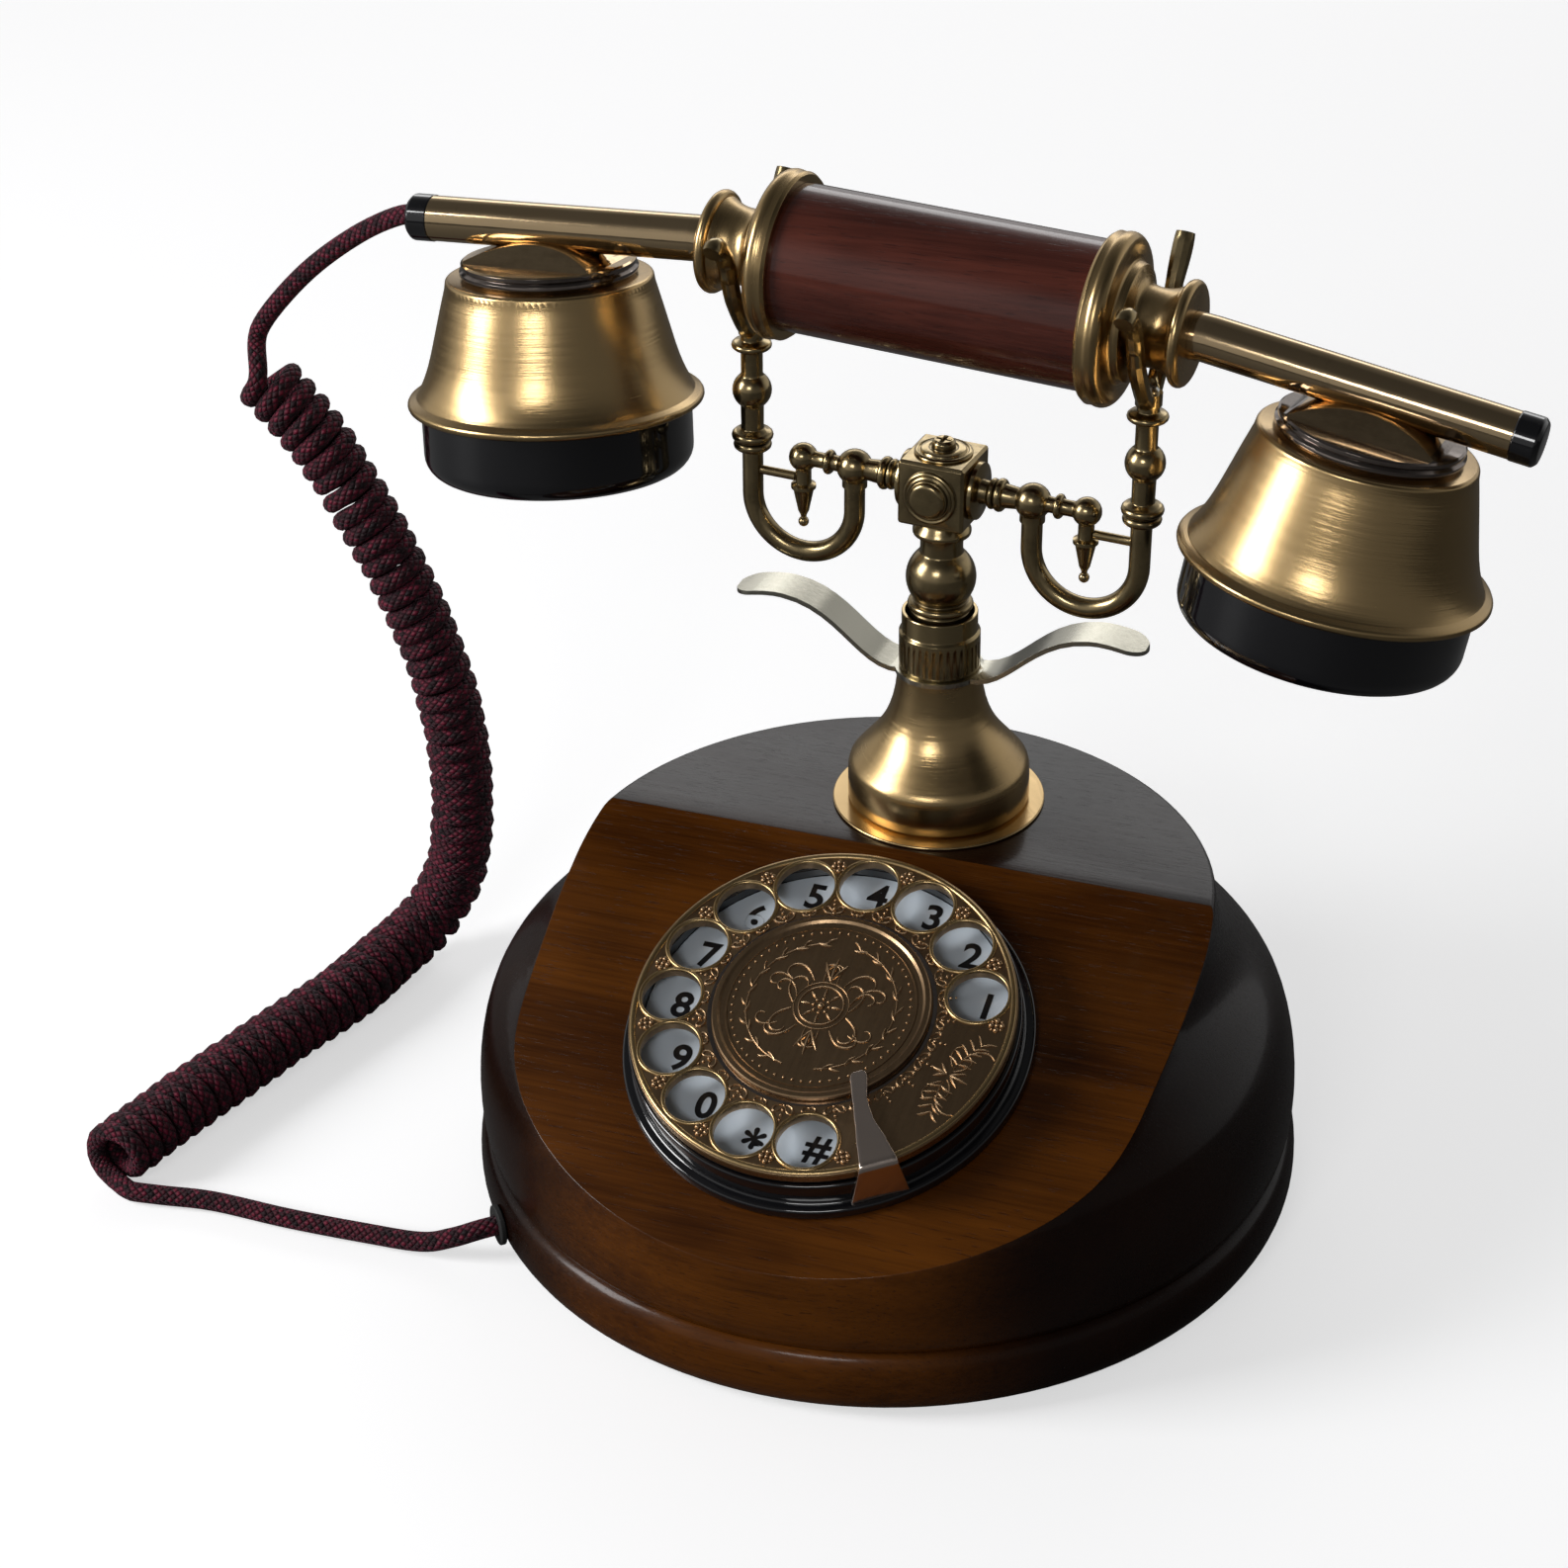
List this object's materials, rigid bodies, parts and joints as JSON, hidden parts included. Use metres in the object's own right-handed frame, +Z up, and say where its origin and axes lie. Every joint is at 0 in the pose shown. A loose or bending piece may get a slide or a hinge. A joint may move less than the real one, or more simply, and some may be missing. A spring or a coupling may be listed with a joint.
{
  "type": "cradle telephone",
  "caption": "Table telephone in turned wood and brass: round base with a sloping finger-wheel dial, stem with a forked cradle, and a wood-gripped handset with bells and a curly cord.",
  "frame": {"origin": "centre of the base, on the surface that the feet stand on", "axes": "+Z up, -Y towards the dial's front, +X along the handset to its mouthpiece end"},
  "size_m": [0.3279, 0.1998, 0.2361],
  "materials": {
    "wood": "satin lacquered dark hardwood",
    "plate_steel": "black painted sheet steel",
    "rubber": "matt",
    "steel": "plain",
    "board": "coated laminate",
    "black_plastic": "satin",
    "gloss_black": "polished",
    "white_plate": "printed",
    "dial_brass": "engraved, aged, brushed",
    "copper_chrome": "polished",
    "gear_brass": "cut",
    "brass": "brushed, aged",
    "wing_steel": "tumbled",
    "antique_brass": "dark antique finish, rubbed on the edges",
    "saddle_brass": "polished, dark nickel ring",
    "capsule": "plain",
    "cord": "braided"
  },
  "bodies": {
    "base": {"base_dome": "wood", "base_plinth": "wood", "bottom_plate": "plate_steel", "rubber_feet": "rubber", "bottom_screws": "steel", "circuit_board": "board", "sounder": "black_plastic", "hook_switch": "steel", "line_jack": "black_plastic", "cord_grommet": "black_plastic", "dial_housing": "gloss_black", "number_plate": "white_plate", "finger_stop": "copper_chrome", "dial_frame": "steel", "return_spring": "steel", "stem_washer": "brass", "stem_cone": "brass", "wing_plate": "wing_steel", "knurled_collar": "antique_brass", "stem_tube": "steel", "stem_nut": "steel", "cradle_spring": "steel", "cord_coil": "cord", "cord_lower": "cord"},
    "dial": {"finger_wheel": "dial_brass", "centre_disc": "dial_brass", "dial_shaft": "steel", "drive_gear": "gear_brass"},
    "governor": {"governor": "gear_brass"},
    "cradle": {"plunger": "antique_brass", "centre_block": "antique_brass", "top_screw": "antique_brass", "arm_left": "antique_brass", "arm_right": "antique_brass", "u_tube_left": "antique_brass", "u_tube_right": "antique_brass", "post_left": "antique_brass", "post_right": "antique_brass", "fork_left": "antique_brass", "fork_right": "antique_brass", "fork_screws": "steel"},
    "lever": {"hook_lever": "steel"},
    "handset": {"grip": "wood", "cuff_left": "brass", "cuff_right": "brass", "tube_left": "brass", "tube_right": "brass", "cord_end_cap": "black_plastic", "plain_end_cap": "black_plastic", "saddle_left": "saddle_brass", "saddle_right": "saddle_brass", "bell_left": "brass", "bell_right": "brass", "earpiece_cap": "gloss_black", "mouthpiece_cap": "gloss_black", "earpiece_capsule": "capsule", "microphone_capsule": "capsule", "cord_upper": "cord"}
  },
  "joints": [
    {"name": "dial_turn", "type": "hinge", "parent": "base", "child": "dial", "pos_m": [0, -0.0403, 0.06034], "axis": [0, 0.3616, -0.9323], "range_deg": [0, 335], "stiffness_Nm_per_rad": 0.01, "springref_deg": -114.59},
    {"name": "governor_spin", "type": "hinge", "parent": "base", "child": "governor", "pos_m": [0, -0.01329, 0.05043], "axis": [0, 0.3616, -0.9323], "range_deg": [-1680, 0]},
    {"name": "handset_lift", "type": "slide", "parent": "base", "child": "handset", "axis": [0, 0, 1], "range_m": [0, 0.06]},
    {"name": "cradle_rise", "type": "slide", "parent": "base", "child": "cradle", "axis": [0.0139, -0.001, 0.9999], "range_m": [0, 0.005], "deforming": ["cradle_spring"]},
    {"name": "lever_swing", "type": "hinge", "parent": "base", "child": "lever", "pos_m": [0.014, 0.03941, 0.054], "axis": [0, 1, 0], "range_deg": [0, 18.5]}
  ],
  "couplings": [
    {"joint": "governor_spin", "follows": "dial_turn", "ratio": -5},
    {"joint": "cradle_rise", "follows": "handset_lift", "ratio": 0.083333},
    {"joint": "lever_swing", "follows": "handset_lift", "rad_per_m": 5.38}
  ]
}
